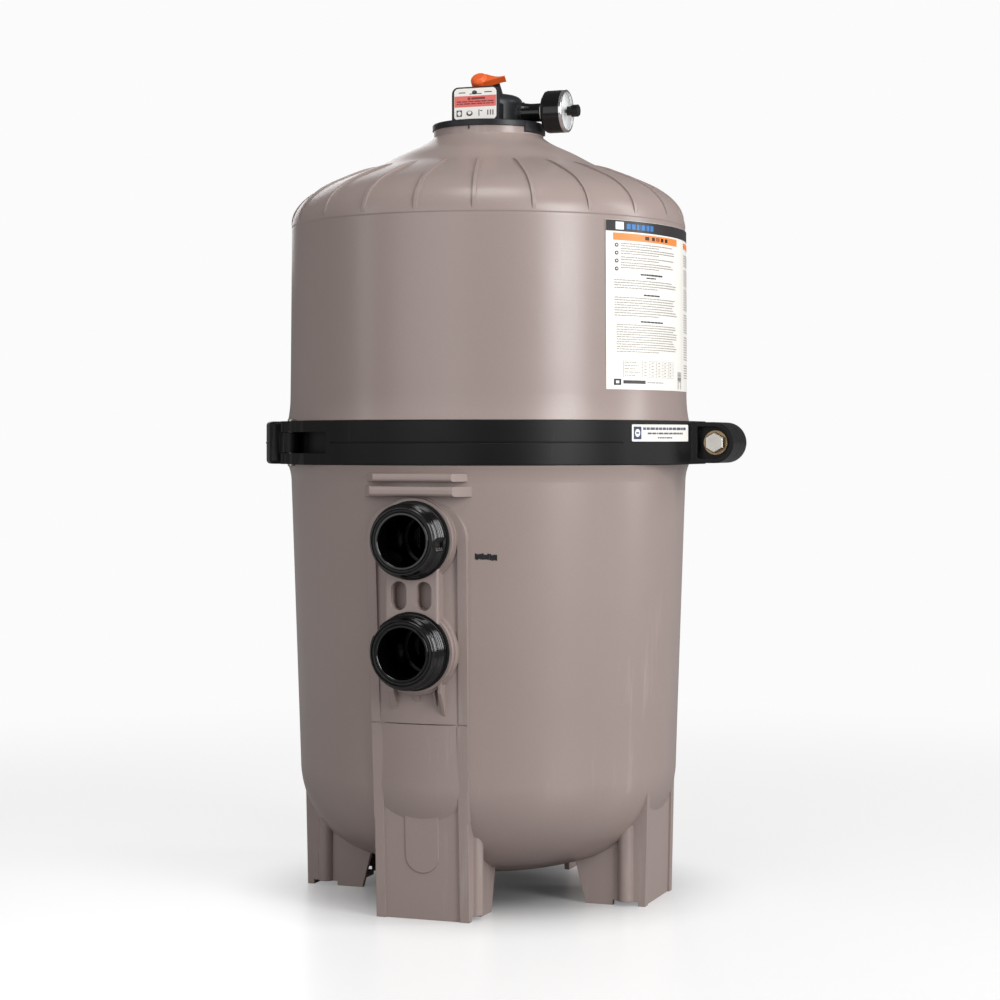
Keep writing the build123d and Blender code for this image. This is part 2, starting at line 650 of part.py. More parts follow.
def inlet_diffuser():
    """Elbow behind the lower port that turns the water down through slots."""
    z = PORT_Z["lower"]
    level = on_port(z, tube(0, 36, STANDPIPE_RHO, 221.5))
    down = Pos(0, -STANDPIPE_RHO, 0) * tube(0, 34, z - 90, z + 36)
    bore = on_port(z, tube(0, 30, STANDPIPE_RHO, 230))
    bore = bore + Pos(0, -STANDPIPE_RHO, 0) * tube(0, 27, z - 84, z + 25)
    body = level + down - bore
    for azimuth in (0, 90):
        slot = block(-12, 12, -60, 60, z - 78, z - 42)
        body = body - Pos(0, -STANDPIPE_RHO, 0) * spin(slot, azimuth + 45)
    return body


# ---- grid elements and manifold -----------------------------------------------------
def element_outline(r_end):
    """Plan of one curved element: an arc that leaves the hub radially."""
    bend = 190.0
    turn = 0.0
    while sqrt((ELEMENT_R[0] + bend * sin(turn)) ** 2 + (bend - bend * cos(turn)) ** 2) < r_end:
        turn += 0.01
    def point(radius, angle):
        return (ELEMENT_R[0] + radius * sin(angle), bend - radius * cos(angle), ELEMENT_Z[0])
    near = bend - ELEMENT_HALF
    far = bend + ELEMENT_HALF
    return make_face([
        ThreePointArc(point(near, 0), point(near, turn / 2), point(near, turn)),
        Line(point(near, turn), point(far, turn)),
        ThreePointArc(point(far, turn), point(far, turn / 2), point(far, 0)),
        Line(point(far, 0), point(near, 0)),
    ])


def grid_element(index):
    r_end = 118.0 if index == 0 else ELEMENT_R[1]
    body = extrude(element_outline(r_end), amount=ELEMENT_Z[1] - ELEMENT_Z[0], dir=(0, 0, 1))
    azimuth = index * 360.0 / ELEMENT_COUNT - 8.0
    return spin(body, azimuth - 90)


def element_spacer():
    """Ring under the elements that keeps them apart."""
    z0 = ELEMENT_Z[0] - 14
    ring = tube(118, 130, z0, ELEMENT_Z[0]) + tube(5.2, 18, z0, ELEMENT_Z[0])
    arm = block(-6, 6, -128, -10, z0, ELEMENT_Z[0] - 4)
    arms = [spin(arm, azimuth) for azimuth in range(0, 360, 60)]
    return joined([ring] + arms) - tube(0, 5.2, z0 - 1, ELEMENT_Z[0] + 1)


def manifold_lower():
    z0 = ELEMENT_Z[1]
    plate = tube(0, 172, z0, z0 + 22) - tube(12, 164, z0 + 5, z0 + 30)
    port = Pos(0, -STANDPIPE_RHO, 0) * tube(0, 37, z0, z0 + 22)
    pocket = Pos(0, -STANDPIPE_RHO, 0) * tube(0, 29.95, z0 - 1, z0 + 40)
    return plate + port - pocket - tube(0, 5.3, z0 - 1, z0 + 40)


def manifold_upper():
    z0 = ELEMENT_Z[1] + 22
    dome = polygon_turned([(5.3, z0 + 38), (14, z0 + 38), (110, z0 + 34), (172, z0 + 12), (172, z0),
                           (166, z0), (166, z0 + 9), (108, z0 + 28), (14, z0 + 31), (14, z0), (5.3, z0)])
    cover = Pos(0, -STANDPIPE_RHO, 0) * (tube(0, 37, z0, z0 + 12) - tube(0, 31, z0 - 1, z0 + 7))
    inside = tube(14, 166, z0 - 1, z0 + 9)
    return dome + (cover - inside) - Pos(0, -60, 0) * tube(0, 6, z0 + 20, z0 + 50)


def tie_rod():
    return tube(0, 4.95, 46, ELEMENT_Z[1] + 22 + 60)


def tie_rod_washer():
    z0 = ELEMENT_Z[1] + 22 + 38
    return tube(5.0, 15, z0, z0 + 2.5)


def tie_rod_nut():
    z0 = ELEMENT_Z[1] + 22 + 40.5
    nut = Pos(0, 0, z0) * extrude(RegularPolygon(9.5, 6, major_radius=False), amount=10)
    return nut - tube(0, 4.95, z0 - 1, z0 + 20)


def air_tube():
    z0 = ELEMENT_Z[1] + 22 + 32.2
    return Pos(0, -60, 0) * tube(3.5, 6, z0, z0 + 26)


def air_strainer():
    z0 = ELEMENT_Z[1] + 22 + 36.2 + 22
    body = Pos(0, -60, 0) * (tube(0, 15, z0, z0 + 26) - tube(0, 12.5, z0 + 2, z0 + 23))
    for azimuth in range(0, 180, 30):
        slot = block(-1.2, 1.2, -20, 20, z0 + 5, z0 + 21)
        body = body - Pos(0, -60, 0) * spin(slot, azimuth)
    return body - Pos(0, -60, 0) * tube(0, 3.5, z0 - 1, z0 + 3)


# ---- relief valve and gauge ---------------------------------------------------------
STEM_DIR = (0.0, -sin(radians(45)), cos(radians(45)))


def on_stem(shape):
    return Plane(origin=STEM_CENTRE, x_dir=(1, 0, 0), z_dir=STEM_DIR) * shape


def valve_body():
    """Domed valve head on the collar, with the gauge boss and the inclined stem housing."""
    head = Pos(0, 0, (1030 + 1086) / 2) * Cylinder(48, 56)
    head = fillet(head.edges().group_by(Axis.Z)[-1], 13)
    flange = tube(0, 70, NECK_TOP + 0.1, NECK_TOP + 3.0)
    spigot = tube(0, COLLAR_BORE_R - 0.6, 1012, NECK_TOP + 2) - tube(55.9, 70, 1028.2, 1031.8)
    boss = along((30, 0, GAUGE_Z), (1, 0, 0), Pos(0, 0, 11) * Cylinder(15, 22))
    plate_stand = block(-34, 34, -51.5, -20, NECK_TOP + 2.5, 1093)
    plate_stand = fillet(plate_stand.edges().filter_by(Axis.Y).group_by(Axis.Z)[-1], 9)
    plate_stand = plate_stand - block(-40, 40, -48.5, -10, 1070, 1100)
    plate_stand = plate_stand - block(-30, 30, -48.5, -20, RING_TOP, 1100)
    housing = on_stem(Pos(0, 0, -27.9) * Cylinder(12, 40))
    shroud = Pos(7, 0, -24) * Box(38, 22, 31)
    shroud = on_stem(fillet(shroud.edges().filter_by(Axis.Z), 9))
    body = head + flange + spigot + boss + plate_stand + housing + shroud
    body = body - tube(0, 36, 1000, 1056)
    body = body - on_stem(Pos(0, 0, -30) * Cylinder(5.08, 60))
    body = body - on_stem(Pos(0, 0, -19) * Cylinder(7.0, 2.6))
    return body - along((GAUGE_SOCKET, 0, GAUGE_Z), (1, 0, 0), Pos(0, 0, 20) * Cylinder(9.0, 40))


def valve_ring():
    """Locking ring over the valve flange, with a grip tab on the +X side."""
    ring = tube(53, 77, RING_LOW, RING_TOP) - tube(0, COLLAR_R - 1.6, RING_LOW - 1, NECK_TOP + 0.1)
    ring = ring - tube(0, 70.4, NECK_TOP - 1, NECK_TOP + 3.2)
    ring = chamfer([e for e in ring.edges().group_by(Axis.Z)[-1] if e.length > 400], 1.2)
    tab = polygon_turned([(76, 1030.5), (78.2, 1031.5), (78.2, 1044.5), (76, 1046)], 46, 60)
    tick = block(-0.8, 0.8, -76.9, -COLLAR_R - 0.3, 1033, RING_LOW + 2)
    return ring + tab + tick - block(-37, 37, -62, -40, RING_LOW + 3, 1060)


def valve_o_ring():
    return torus_ring(57.6, 1.7, 1030.0)


def gauge_adapter():
    """Gloss nipple between the valve head and the gauge, flared where it meets the head."""
    profile = [(6.0, GAUGE_SOCKET), (8.9, GAUGE_SOCKET), (8.9, 52), (14.2, 52), (13.4, 56), (12.6, 62),
               (12.6, ADAPTER_END - 0.8), (11.8, ADAPTER_END), (6.0, ADAPTER_END)]
    face = make_face(Polyline(*[(r, 0, z) for r, z in profile], close=True))
    return on_gauge(revolve(face, Axis.Z, 360))


def stem_o_ring():
    return on_stem(Pos(0, 0, -19) * Torus(5.95, 0.9))


def valve_stem():
    return on_stem(Pos(0, 0, -17.5) * Cylinder(5.0, 41))


def relief_lever():
    """Lever with a round domed hub and a tapering arm towards +X, its tip turned up."""
    hub = Cylinder(12, 15)
    hub = fillet(hub.edges().group_by(Axis.Z)[-1], 6.5)
    outline = make_face([
        Spline([(-3, 11.2, 0), (9, 9.4, 0), (20, 4.6, 0), (36, 4.4, 0)]),
        Line((36, 4.4, 0), (36.8, 2.2, 0)),
        Spline([(36.8, 2.2, 0), (24, -1.8, 0), (10, -8.0, 0), (-3, -11.2, 0)]),
        Line((-3, -11.2, 0), (-3, 11.2, 0)),
    ])
    arm = Pos(0, 0, -5.5) * extrude(outline, amount=9)
    return on_stem(hub + arm - Pos(0, 0, -10) * Cylinder(5.0, 26))


def valve_label():
    plane = Plane(origin=(0, -51.5, 1069.5), x_dir=(1, 0, 0), z_dir=(0, -1, 0))
    return extrude(plane * RectangleRounded(61, 43, 6), amount=0.4)


def on_gauge(shape):
    """Place a shape built along +Z with z = X from the tank axis."""
    return Plane(origin=(0, 0, GAUGE_Z), x_dir=(0, 1, 0), z_dir=(1, 0, 0)) * shape


def gauge_case():
    outside = [(0, GAUGE_BACK), (22.5, GAUGE_BACK), (26.4, GAUGE_BACK + 1.0), (28.4, GAUGE_BACK + 3.2),
               (GAUGE_R, GAUGE_BACK + 6), (GAUGE_R, GAUGE_FRONT - 4), (27, GAUGE_FRONT - 4),
               (27, 106), (24.5, 104), (0, 104)]
    face = make_face(Polyline(*[(r, 0, z) for r, z in outside], close=True))
    return on_gauge(revolve(face, Axis.Z, 360) - tube(0, 1.55, 95, 120))


def gauge_bezel():
    """Bright snap ring that holds the lens on the case."""
    front = GAUGE_FRONT
    profile = [(26.0, front - 1.2), (26.0, front), (28.2, front), (GAUGE_R, front - 0.8),
               (GAUGE_R, front - 3.9), (27.0, front - 3.9), (27.0, front - 1.2)]
    face = make_face(Polyline(*[(r, 0, z) for r, z in profile], close=True))
    return on_gauge(revolve(face, Axis.Z, 360))


def gauge_dial():
    return on_gauge(tube(1.6, 26.8, 106.0, 107.0))


def gauge_needle():
    """Pointer at rest on the lower left of the dial."""
    hub = tube(0, 2.6, 107.4, 108.4)
    pointer = plan_needle(21.0, 1.0, 108.0)
    shaft = tube(0, 1.5, 96, 107.6)
    return on_gauge(hub + pointer + shaft)


def plan_needle(length, width, z):
    direction = (-sin(radians(45)), -cos(radians(45)))
    side = (direction[1], -direction[0])
    tip = (direction[0] * length, direction[1] * length, z)
    tail = (-direction[0] * 6, -direction[1] * 6)
    corners = [(tail[0] + side[0] * width, tail[1] + side[1] * width, z),
               tip, (tail[0] - side[0] * width, tail[1] - side[1] * width, z)]
    return extrude(make_face(Polyline(*corners, close=True)), amount=0.4, dir=(0, 0, 1))


def gauge_lens():
    profile = [(3.05, 111.2), (26.9, 110.4), (26.9, 113.0), (3.05, 113.9)]
    face = make_face(Polyline(*[(r, 0, z) for r, z in profile], close=True))
    return on_gauge(revolve(face, Axis.Z, 360))


def gauge_set_knob():
    """Knob that turns the clean-pressure marker under the lens."""
    neck = tube(0, 6.4, 114.7, 121)
    grip = Pos(0, 0, 120.5) * extrude(RegularPolygon(8.3, 8, major_radius=True), amount=10.5)
    grip = chamfer(grip.edges().group_by(Axis.Z)[-1], 1.0)
    shaft = tube(0, 3.0, 109.2, 115)
    marker = plan_needle(17.0, 1.4, 109.3).rotate(Axis.Z, 60)
    return on_gauge(neck + grip + shaft + marker)


def gauge_stem():
    hexagon = extrude(RegularPolygon(8, 6, major_radius=False), amount=3.2)
    hexagon = Pos(0, 0, ADAPTER_END + 1.8) * hexagon
    return on_gauge(tube(0, 5.9, 56, ADAPTER_END + 1.9) + hexagon - tube(0, 2, 50, 82))


def gauge_washer():
    return on_gauge(tube(6.0, 12.2, ADAPTER_END, ADAPTER_END + 1.8))


# ---- labels and drain ---------------------------------------------------------------
def tank_label():
    """Curved label on the +X side of the upper barrel."""
    z_low = CLAMP_Z + LIP_OFFSET + BARREL_FOOT
    z_high = SEAM_Z - 1

    def barrel(z):
        return BARREL_R + (BARREL_FOOT_R - BARREL_R) * (z_high - z) / (z_high - z_low)
    bottom = 679.0
    top = 897.0
    return polygon_turned([(barrel(bottom) + 0.02, bottom), (barrel(bottom) + 0.45, bottom),
                           (barrel(top) + 0.45, top), (barrel(top) + 0.02, top)], 72, 54)


def drain_plug():
    centre, direction = drain_axis()
    thread = along(centre, direction, Pos(0, 0, -14) * Cylinder(13.4, 32))
    flange = along(centre, direction, Pos(0, 0, 3) * Cylinder(20, 5))
    grip = along(centre, direction, Pos(0, 0, 11) * Box(30, 8, 12))
    return thread + flange + grip


def drain_plug_o_ring():
    centre, direction = drain_axis()
    return along(centre, direction, Pos(0, 0, -1.05) * Torus(15.5, 1.45))


# ---- write --------------------------------------------------------------------------
save("lower_tank", lower_tank())
save("upper_tank", upper_tank())
save("tank_o_ring", tank_o_ring())
save("clamp_front_jaw", clamp_front_jaw())
save("clamp_rear_jaw", clamp_rear_jaw())
save("clamp_spine", clamp_spine())
save("front_hinge_pin", hinge_pin(-1))
save("rear_hinge_pin", hinge_pin(1))
save("clamp_bolt", clamp_bolt())
save("bolt_washer", bolt_washer())
save("clamp_insert", clamp_insert())
save("clamp_label", clamp_label())
for place, height in PORT_Z.items():
    save(f"{place}_port_fitting", port_fitting(height))
    save(f"{place}_port_face_seal", port_face_seal(height))
    save(f"{place}_port_gasket", port_gasket(height))
    save(f"{place}_port_locknut", port_locknut(height))
save("outlet_elbow", outlet_elbow())
save("standpipe", standpipe())
save("inlet_diffuser", inlet_diffuser())
for number in range(ELEMENT_COUNT):
    save(f"grid_element_{number + 1}", grid_element(number))
save("element_spacer", element_spacer())
save("manifold_lower", manifold_lower())
save("manifold_upper", manifold_upper())
save("tie_rod", tie_rod())
save("tie_rod_washer", tie_rod_washer())
save("tie_rod_nut", tie_rod_nut())
save("air_tube", air_tube())
save("air_strainer", air_strainer())
save("valve_body", valve_body())
save("valve_ring", valve_ring())
save("valve_o_ring", valve_o_ring())
save("valve_stem", valve_stem())
save("relief_lever", relief_lever())
save("stem_o_ring", stem_o_ring())
save("valve_label", valve_label())
save("gauge_adapter", gauge_adapter())
save("gauge_case", gauge_case())
save("gauge_bezel", gauge_bezel())
save("gauge_dial", gauge_dial())
save("gauge_needle", gauge_needle())
save("gauge_lens", gauge_lens())
save("gauge_set_knob", gauge_set_knob())
save("gauge_stem", gauge_stem())
save("gauge_washer", gauge_washer())
save("tank_label", tank_label())
save("drain_plug", drain_plug())
save("drain_plug_o_ring", drain_plug_o_ring())
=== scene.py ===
import json
import math
import random

import bmesh
import bpy
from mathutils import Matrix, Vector


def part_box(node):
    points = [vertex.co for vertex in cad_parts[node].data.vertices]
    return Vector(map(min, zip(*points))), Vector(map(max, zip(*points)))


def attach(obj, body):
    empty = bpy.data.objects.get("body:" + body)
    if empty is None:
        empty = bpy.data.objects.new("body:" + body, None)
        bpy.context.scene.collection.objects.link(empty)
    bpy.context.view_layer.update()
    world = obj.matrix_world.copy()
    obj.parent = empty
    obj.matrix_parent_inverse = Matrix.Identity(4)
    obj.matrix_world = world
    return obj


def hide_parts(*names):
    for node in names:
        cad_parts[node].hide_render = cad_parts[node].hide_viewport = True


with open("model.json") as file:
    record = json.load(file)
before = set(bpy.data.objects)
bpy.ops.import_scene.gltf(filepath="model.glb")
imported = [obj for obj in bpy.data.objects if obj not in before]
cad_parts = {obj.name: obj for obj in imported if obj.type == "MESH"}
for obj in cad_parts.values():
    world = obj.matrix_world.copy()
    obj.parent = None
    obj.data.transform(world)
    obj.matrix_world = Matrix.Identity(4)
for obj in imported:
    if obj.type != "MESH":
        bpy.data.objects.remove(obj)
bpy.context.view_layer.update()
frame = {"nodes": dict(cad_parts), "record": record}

NODES = frame["nodes"]
MM = 0.001
MIX_A, MIX_B, MIX_OUT = 6, 7, 2     # colour sockets of Blender's Mix node


# ---------------------------------------------------------------- materials
class Shader:
    """Small helper that builds a node tree for one material."""

    def __init__(self, name):
        self.material = bpy.data.materials.new(name)
        self.material.use_nodes = True
        self.tree = self.material.node_tree
        self.tree.nodes.clear()
        self.output = self.add("ShaderNodeOutputMaterial")
        self.bsdf = self.add("ShaderNodeBsdfPrincipled")
        self.link(self.bsdf, "BSDF", self.output, "Surface")
        self.coords = self.add("ShaderNodeTexCoord")

    def add(self, kind, **settings):
        node = self.tree.nodes.new(kind)
        for key, value in settings.items():
            if key in node.inputs:
                node.inputs[key].default_value = value
            else:
                setattr(node, key, value)
        return node

    def link(self, a, out, b, into):
        self.tree.links.new(a.outputs[out], b.inputs[into])

    def set(self, **values):
        for key, value in values.items():
            self.bsdf.inputs[key.replace("_", " ")].default_value = value

    def noise(self, scale, detail=3.0, roughness=0.55, stretch=None):
        texture = self.add("ShaderNodeTexNoise")
        texture.inputs["Scale"].default_value = scale
        texture.inputs["Detail"].default_value = detail
        texture.inputs["Roughness"].default_value = roughness
        if stretch:
            mapping = self.add("ShaderNodeMapping")
            mapping.inputs["Scale"].default_value = stretch
            self.link(self.coords, "Object", mapping, "Vector")
            self.link(mapping, "Vector", texture, "Vector")
        else:
            self.link(self.coords, "Object", texture, "Vector")
        return texture

    def ramp(self, source, out, stops):
        node = self.add("ShaderNodeValToRGB")
        elements = node.color_ramp.elements
        while len(elements) < len(stops):
            elements.new(0.5)
        for element, (position, colour) in zip(elements, stops):
            element.position = position
            element.color = colour if len(colour) == 4 else (*colour, 1.0)
        self.link(source, out, node, "Fac")
        return node

    def grey_range(self, source, out, low, high):
        node = self.add("ShaderNodeMapRange")
        node.inputs["To Min"].default_value = low
        node.inputs["To Max"].default_value = high
        self.link(source, out, node, "Value")
        return node

    def bump(self, source, out, strength, distance, after=None):
        node = self.add("ShaderNodeBump")
        node.inputs["Strength"].default_value = strength
        node.inputs["Distance"].default_value = distance
        self.link(source, out, node, "Height")
        if after is not None:
            self.link(after, "Normal", node, "Normal")
        return node

    def rounded(self, radius):
        node = self.add("ShaderNodeBevel")
        node.samples = 4
        node.inputs["Radius"].default_value = radius
        return node

    def use_normal(self, node):
        self.link(node, "Normal", self.bsdf, "Normal")


def srgb(r, g, b):
    """Linear colour from 0-255 display values."""
    def one(value):
        value = value / 255.0
        return value / 12.92 if value <= 0.04045 else ((value + 0.055) / 1.055) ** 2.4
    return (one(r), one(g), one(b), 1.0)


def scaled(colour, factor):
    return (colour[0] * factor, colour[1] * factor, colour[2] * factor, 1.0)


def moulded(name, colour, roughness, grain=900.0, grain_depth=0.00005, blotch=0.06, edge=0.0008,
            scuff=0.0, shine=0.45, lump=0.0):
    """Moulded plastic: faint flow blotches, fine grain, softened edges and optional scuffs."""
    s = Shader(name)
    cloud = s.noise(5.0, 4.0, 0.6)
    tint = s.ramp(cloud, "Fac", [(0.25, scaled(colour, 1 - blotch)), (0.75, scaled(colour, 1 + blotch))])
    speck = s.noise(grain * 0.8, 2.0)
    fleck = s.ramp(speck, "Fac", [(0.35, scaled(colour, 0.93)), (0.7, scaled(colour, 1.05))])
    mix = s.add("ShaderNodeMix", data_type="RGBA")
    mix.inputs["Factor"].default_value = 0.35
    s.tree.links.new(tint.outputs["Color"], mix.inputs[MIX_A])
    s.tree.links.new(fleck.outputs["Color"], mix.inputs[MIX_B])
    colour_out = mix
    if scuff > 0:
        streak = s.noise(60.0, 5.0, 0.7, (1.0, 1.0, 0.07))
        area = s.noise(3.2, 2.0)
        both = s.add("ShaderNodeMath", operation="MULTIPLY")
        s.tree.links.new(streak.outputs["Fac"], both.inputs[0])
        s.tree.links.new(area.outputs["Fac"], both.inputs[1])
        split = s.add("ShaderNodeSeparateXYZ")
        s.link(s.coords, "Normal", split, "Vector")
        tilt = s.add("ShaderNodeMath", operation="ABSOLUTE")
        s.tree.links.new(split.outputs["Z"], tilt.inputs[0])
        upright = s.ramp(tilt, "Value", [(0.15, (1, 1, 1)), (0.5, (0, 0, 0))])
        kept = s.add("ShaderNodeMath", operation="MULTIPLY")
        s.tree.links.new(both.outputs["Value"], kept.inputs[0])
        s.tree.links.new(upright.outputs["Color"], kept.inputs[1])
        mask = s.ramp(kept, "Value", [(0.33, (0, 0, 0)), (0.42, (1, 1, 1))])
        worn = s.add("ShaderNodeMix", data_type="RGBA")
        s.tree.links.new(mask.outputs["Color"], worn.inputs[0])
        s.tree.links.new(mix.outputs[MIX_OUT], worn.inputs[MIX_A])
        pale = s.add("ShaderNodeMix", data_type="RGBA")
        pale.inputs[0].default_value = scuff
        s.tree.links.new(mix.outputs[MIX_OUT], pale.inputs[MIX_A])
        pale.inputs[MIX_B].default_value = (0.75, 0.72, 0.70, 1)
        s.tree.links.new(pale.outputs[MIX_OUT], worn.inputs[MIX_B])
        colour_out = worn
    s.tree.links.new(colour_out.outputs[MIX_OUT], s.bsdf.inputs["Base Color"])
    polish = s.noise(14.0, 5.0, 0.6)
    rough = s.grey_range(polish, "Fac", roughness - 0.06, roughness + 0.07)
    s.link(rough, "Result", s.bsdf, "Roughness")
    fine = s.noise(grain, 2.0)
    rounded = s.rounded(edge)
    relief = s.bump(fine, "Fac", 0.35, grain_depth, rounded)
    if lump > 0:
        wave = s.noise(9.0, 3.0, 0.5, (1.0, 1.0, 0.6))
        relief = s.bump(wave, "Fac", 0.5, lump, relief)
    s.use_normal(relief)
    s.set(Specular_IOR_Level=shine)
    return s.material


def metal(name, colour, roughness, brushed=(1, 1, 12), tarnish=0.12):
    """Turned or plated metal with fine drawing lines and slight staining."""
    s = Shader(name)
    lines = s.noise(420.0, 3.0, 0.6, brushed)
    stain = s.noise(60.0, 4.0, 0.6)
    tint = s.ramp(stain, "Fac", [(0.3, scaled(colour, 1 - tarnish)), (0.7, scaled(colour, 1.0))])
    s.link(tint, "Color", s.bsdf, "Base Color")
    rough = s.grey_range(lines, "Fac", roughness - 0.08, roughness + 0.12)
    s.link(rough, "Result", s.bsdf, "Roughness")
    s.use_normal(s.bump(lines, "Fac", 0.25, 0.00003, s.rounded(0.0003)))
    s.set(Metallic=1.0)
    return s.material


def rubber(name, colour):
    s = Shader(name)
    dust = s.noise(140.0, 5.0, 0.7)
    tint = s.ramp(dust, "Fac", [(0.4, colour), (0.8, scaled(colour, 2.4))])
    s.link(tint, "Color", s.bsdf, "Base Color")
    s.set(Roughness=0.62, Specular_IOR_Level=0.35)
    s.use_normal(s.bump(dust, "Fac", 0.2, 0.00006))
    return s.material


def film(name, colour, roughness=0.38):
    """Printed vinyl or paper label: faint fibre mottling and a slight orange-peel gloss."""
    s = Shader(name)
    mottle = s.noise(260.0, 4.0, 0.65)
    tint = s.ramp(mottle, "Fac", [(0.3, scaled(colour, 0.965)), (0.7, colour)])
    s.link(tint, "Color", s.bsdf, "Base Color")
    wave = s.noise(45.0, 2.0)
    rough = s.grey_range(wave, "Fac", roughness - 0.05, roughness + 0.08)
    s.link(rough, "Result", s.bsdf, "Roughness")
    s.use_normal(s.bump(wave, "Fac", 0.12, 0.0001))
    return s.material


def cloth(name, colour):
    """Woven polyester cloth of the grid elements."""
    s = Shader(name)
    warp = s.add("ShaderNodeTexWave", wave_type="BANDS", bands_direction="Z")
    warp.inputs["Scale"].default_value = 320.0
    warp.inputs["Distortion"].default_value = 0.6
    s.link(s.coords, "Object", warp, "Vector")
    weft = s.add("ShaderNodeTexWave", wave_type="BANDS", bands_direction="DIAGONAL")
    weft.inputs["Scale"].default_value = 300.0
    s.link(s.coords, "Object", weft, "Vector")
    weave = s.add("ShaderNodeMath", operation="MULTIPLY")
    s.tree.links.new(warp.outputs["Fac"], weave.inputs[0])
    s.tree.links.new(weft.outputs["Fac"], weave.inputs[1])
    tint = s.ramp(weave, "Value", [(0.1, scaled(colour, 0.75)), (0.8, colour)])
    s.link(tint, "Color", s.bsdf, "Base Color")
    s.set(Roughness=0.85, Sheen_Weight=0.2)
    s.use_normal(s.bump(weave, "Value", 0.5, 0.0002))
    return s.material


def clear_lens(name):
    """Thin clear moulding: mostly see-through, with a haze and a soft reflection."""
    s = Shader(name)
    haze = s.noise(90.0, 3.0)
    rough = s.grey_range(haze, "Fac", 0.06, 0.14)
    s.link(rough, "Result", s.bsdf, "Roughness")
    s.set(Base_Color=(0.92, 0.94, 0.95, 1), Specular_IOR_Level=0.6)
    through = s.add("ShaderNodeBsdfTransparent")
    facing = s.add("ShaderNodeLayerWeight")
    facing.inputs["Blend"].default_value = 0.25
    share = s.grey_range(facing, "Fresnel", 0.05, 0.55)
    mix = s.add("ShaderNodeMixShader")
    s.link(share, "Result", mix, "Fac")
    s.tree.links.new(through.outputs["BSDF"], mix.inputs[1])
    s.tree.links.new(s.bsdf.outputs["BSDF"], mix.inputs[2])
    s.link(mix, "Shader", s.output, "Surface")
    return s.material


TAUPE = srgb(157, 141, 136)
MATERIALS = {
    "tank_plastic": moulded("tank_plastic", TAUPE, 0.30, grain=650, grain_depth=0.00006, blotch=0.035,
                            edge=0.0014, scuff=0.10, shine=0.55, lump=0.0005),
    "clamp_plastic": moulded("clamp_plastic", srgb(13, 13, 14), 0.40, grain=800, blotch=0.12,
                             edge=0.0016, scuff=0.04, shine=0.26),
    "port_plastic": moulded("port_plastic", srgb(4, 4, 5), 0.11, grain=700, grain_depth=0.00001,
                            blotch=0.1, edge=0.0007, shine=0.55),
    "valve_plastic": moulded("valve_plastic", srgb(30, 31, 34), 0.38, grain=900, blotch=0.1,
                             edge=0.0012, shine=0.38),
    "lever_plastic": moulded("lever_plastic", srgb(232, 98, 38), 0.36, grain=800, blotch=0.05, edge=0.001),
    "inner_plastic": moulded("inner_plastic", srgb(225, 224, 220), 0.4, grain=600, blotch=0.03),
    "cloth": cloth("grid_cloth", srgb(232, 230, 222)),
    "seal_rubber": rubber("seal_rubber", srgb(20, 20, 21)),
    "bolt_steel": metal("bolt_steel", srgb(200, 196, 190), 0.30),
    "washer_steel": metal("washer_plated", srgb(170, 144, 110), 0.34, (1, 1, 1), 0.3),
    "brass": metal("turned_brass", srgb(190, 158, 92), 0.28, (12, 1, 1)),
    "chrome_ring": metal("plated_ring", srgb(226, 226, 226), 0.16, (1, 1, 1), 0.05),
    "label_film": film("label_film", srgb(247, 244, 238)),
    "gauge_black": moulded("gauge_enamel", srgb(14, 14, 15), 0.16, grain=500, grain_depth=0.00002,
                           blotch=0.08, edge=0.0005),
    "gauge_dial": film("gauge_dial_print", srgb(246, 246, 244), 0.3),
    "gauge_lens": clear_lens("gauge_lens_clear"),
}


def paint_nodes():
    slots = {entry["node"]: entry["material_slot"] for entry in frame["record"]["subparts"]}
    for name, obj in NODES.items():
        material = MATERIALS[slots[name]]
        if not obj.material_slots:
            obj.data.materials.append(material)
        for entry in obj.material_slots:
            entry.material = material


paint_nodes()

# ---------------------------------------------------------------- mesh helpers
def add_piece(name, build, materials, body, sharp_angle=35.0):
    """Turn a bmesh into a piece that rides on a body."""
    bmesh.ops.recalc_face_normals(build, faces=build.faces)
    limit = math.radians(sharp_angle)
    for face in build.faces:
        face.smooth = True
    for edge in build.edges:
        if len(edge.link_faces) == 2 and edge.calc_face_angle(0.0) > limit:
            edge.smooth = False
    mesh = bpy.data.meshes.new(name)
    build.to_mesh(mesh)
    build.free()
    for material in materials:
        mesh.materials.append(material)
    obj = bpy.data.objects.new(name, mesh)
    bpy.context.scene.collection.objects.link(obj)
    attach(obj, body)
    return obj


def slab(build, place, s0, s1, t0, t1, thickness, material=0, steps=1):
    """Thin closed patch on a sheet: place(s, t, lift) gives a point on it."""
    rows = []
    for lift in (-0.00003, thickness):
        for t in (t0, t1):
            rows.append([build.verts.new(place(s0 + (s1 - s0) * i / steps, t, lift))
                         for i in range(steps + 1)])
    low0, low1, high0, high1 = rows
    faces = []
    for i in range(steps):
        faces.append((high0[i], high0[i + 1], high1[i + 1], high1[i]))
        faces.append((low0[i], low1[i], low1[i + 1], low0[i + 1]))
        faces.append((low0[i], low0[i + 1], high0[i + 1], high0[i]))
        faces.append((low1[i], high1[i], high1[i + 1], low1[i + 1]))
    faces.append((low0[0], high0[0], high1[0], low1[0]))
    faces.append((low0[-1], low1[-1], high1[-1], high0[-1]))
    for corners in faces:
        build.faces.new(corners).material_index = material


